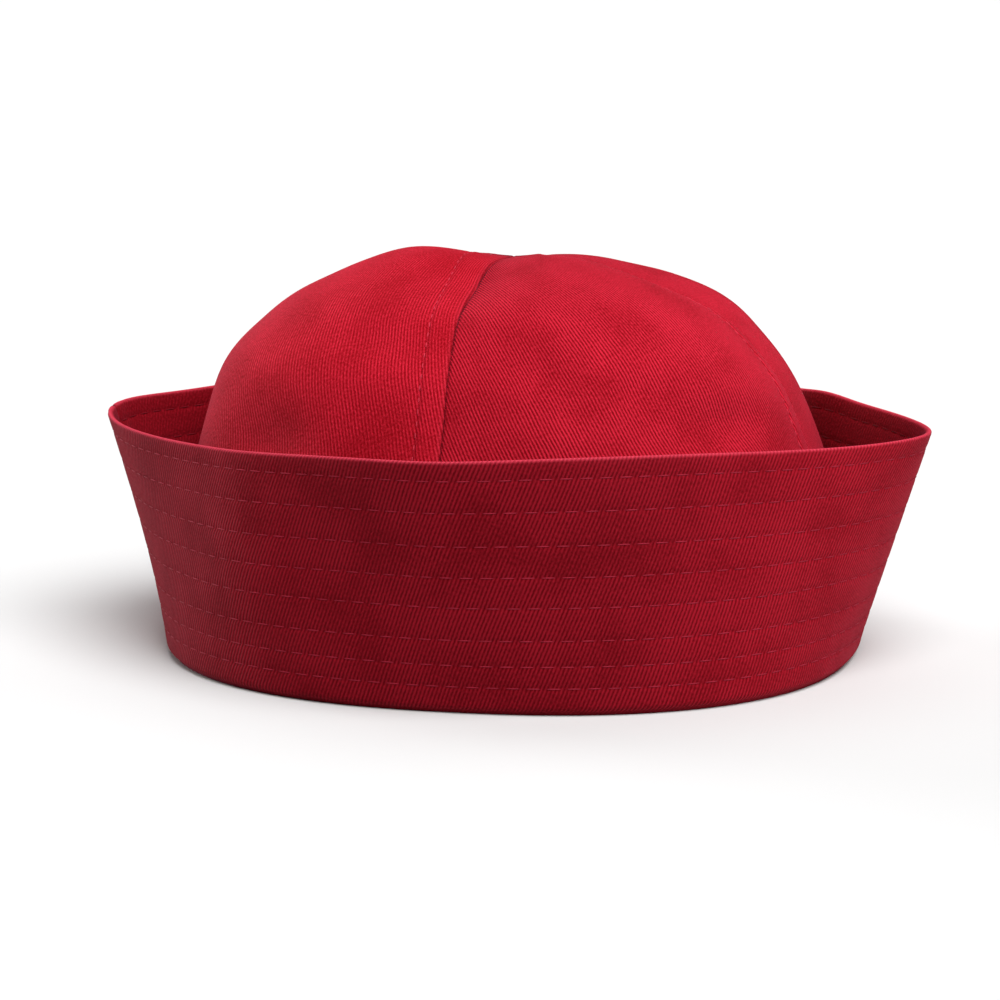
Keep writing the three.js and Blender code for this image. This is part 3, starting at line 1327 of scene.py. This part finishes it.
        def spot(distance: Table) -> Spot:
            """Return points and outward directions of the line at distances along it."""
            return place(np.interp(distance, total, shares))

        return self.stitches.along(spot, float(total[-1]))

    def build(self, cloth: TwillCloth, thread: Thread) -> None:
        """Make the crown's pieces and dress them.

        Args:
            cloth: The finish of the gores' twill.
            thread: The finish of the seams' stitches.
        """
        finish = cloth.material()
        for index, seam in enumerate(self.seams):
            piece = add_piece(f"{seam.gore}_cloth", self.gore(index), finish)
            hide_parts(seam.gore)
        rows = [self.seam_row(index, side) for index in range(len(self.seams)) for side in Side]
        mesh = self.stitches.mesh("seam_stitches", rows)
        add_piece("seam_stitches", mesh, thread.material())


def towards(azimuth: float, elevation: float) -> Vector:
    """Return the direction from the cap to a place round it, given in degrees."""
    turn, lift = math.radians(azimuth), math.radians(elevation)
    return Vector((math.sin(turn) * math.cos(lift), -math.cos(turn) * math.cos(lift), math.sin(lift)))


@dataclass(frozen=True)
class Sun:
    """A soft studio light from far away, even over the whole floor.

    Attributes:
        name: Its name.
        azimuth: Where it comes from, in degrees round the cap from the camera side of Y.
        elevation: Its height above the horizon, in degrees.
        strength: Its strength in watts per square metre.
        softness: Its width as seen from the cap, in degrees.
    """

    name: str
    azimuth: float
    elevation: float
    strength: float
    softness: float

    def build(self) -> None:
        """Hang the light."""
        data = bpy.data.lights.new(self.name, "SUN")
        data.energy = self.strength
        data.angle = math.radians(self.softness)
        lamp = bpy.data.objects.new(self.name, data)
        lamp.rotation_euler = towards(self.azimuth, self.elevation).to_track_quat("Z", "Y").to_euler()
        bpy.context.scene.collection.objects.link(lamp)


@dataclass
class Studio:
    """The pale floor, the soft lamps and the camera.

    Attributes:
        azimuth: Direction of the camera round the cap, in degrees.
        elevation: Its height above the horizon, in degrees.
        distance: Its distance from the point that it looks at.
        pixels_per_metre: Scale of the picture at that point.
        picture_width: Width of the picture, in pixels.
        sensor_width: Width of the camera's sensor, in its own millimetres.
        aside: How far right of the cap's middle the point that it looks at is.
        rise: Height of that point.
        floor_reach: Half the width of the floor.
        floor_tone: Lightness of the floor.
        air: Strength of the light from all round.
        lights: The lights.
    """

    azimuth: float = 12.0
    elevation: float = 11.6
    distance: float = 1.6
    pixels_per_metre: float = 3400.0
    picture_width: int = 1000
    sensor_width: float = 36.0
    aside: float = -4.3 * MM
    rise: float = 42.9 * MM
    floor_reach: float = 12.0
    floor_tone: float = 0.6
    air: float = 0.055
    lights: tuple[Sun, ...] = (
        Sun("key_light", azimuth=40, elevation=60, strength=4.6, softness=50),
        Sun("back_light", azimuth=180, elevation=60, strength=0.9, softness=50),
        Sun("right_light", azimuth=98, elevation=8, strength=0.8, softness=30),
        Sun("left_light", azimuth=-114, elevation=8, strength=2.7, softness=25),
    )

    def camera(self) -> None:
        """Set up the camera at the viewing angle of the cap's side."""
        turn = math.radians(self.azimuth)
        back = towards(self.azimuth, self.elevation)
        right = Vector((math.cos(turn), math.sin(turn), 0))
        data = bpy.data.cameras.new("camera")
        data.sensor_width = self.sensor_width
        data.lens = self.pixels_per_metre * self.distance * self.sensor_width / self.picture_width
        data.clip_start, data.clip_end = 0.05, 60.0
        camera = bpy.data.objects.new("camera", data)
        camera.location = right * self.aside + Vector((0, 0, self.rise)) + back * self.distance
        camera.rotation_euler = (-back).to_track_quat("-Z", "Y").to_euler()
        bpy.context.scene.collection.objects.link(camera)
        bpy.context.scene.camera = camera

    def floor(self) -> None:
        """Lay the pale floor."""
        build = bmesh.new()
        bmesh.ops.create_grid(build, x_segments=1, y_segments=1, size=self.floor_reach)
        mesh = new_mesh("floor", build)
        plan = NodePlan("pale_floor")
        plan.put("Base Color", (self.floor_tone, self.floor_tone, self.floor_tone, 1.0))
        plan.put("Roughness", 0.9)
        plan.put("Specular IOR Level", 0.1)
        mesh.materials.append(plan.material)
        floor = bpy.data.objects.new("floor", mesh)
        bpy.context.scene.collection.objects.link(floor)

    def build(self) -> None:
        """Set up the whole studio."""
        self.camera()
        self.floor()
        for light in self.lights:
            light.build()
        world = bpy.data.worlds.new("studio_air")
        world.use_nodes = True
        background = world.node_tree.nodes["Background"]
        background.inputs["Color"].default_value = (1.0, 1.0, 1.0, 1.0)
        background.inputs["Strength"].default_value = self.air
        bpy.context.scene.world = world
        bpy.context.scene.view_settings.view_transform = "Standard"


def main() -> None:
    """Build the studio and the cap, piece by piece."""
    logging.basicConfig(level=logging.INFO, format="%(name)s: %(message)s")
    # Painted shade: the brim's twill is a darker copy of the crown's twill, standing in for the shade that
    # falls on the brim.
    brim_twill = TwillCloth(
        "brim_twill",
        ridge=(0.265, 0.005, 0.014),
        groove=(0.11, 0.0006, 0.003),
        pitch=1.1 * MM,
        lean=-23.0,
        sheen=0.05,
    )
    crown_twill = TwillCloth(
        "crown_twill",
        ridge=(0.53, 0.013, 0.033),
        groove=(0.2, 0.001, 0.004),
        pitch=1.05 * MM,
        lean=22.0,
    )
    # Painted shade: the brim's threads are darker copies of the crown's thread, darkest for the stitches
    # inside.
    shaded_brim_thread = Thread("shaded_brim_thread", (0.3, 0.014, 0.032))
    shaded_hidden_thread = Thread("shaded_brim_thread_inside", (0.15, 0.003, 0.009))
    crown_thread = Thread("crown_thread", (0.58, 0.035, 0.065))
    Studio().build()
    Brim().build(brim_twill, shaded_brim_thread, shaded_hidden_thread)
    Crown().build(crown_twill, crown_thread)


if __name__ == "__main__":
    main()
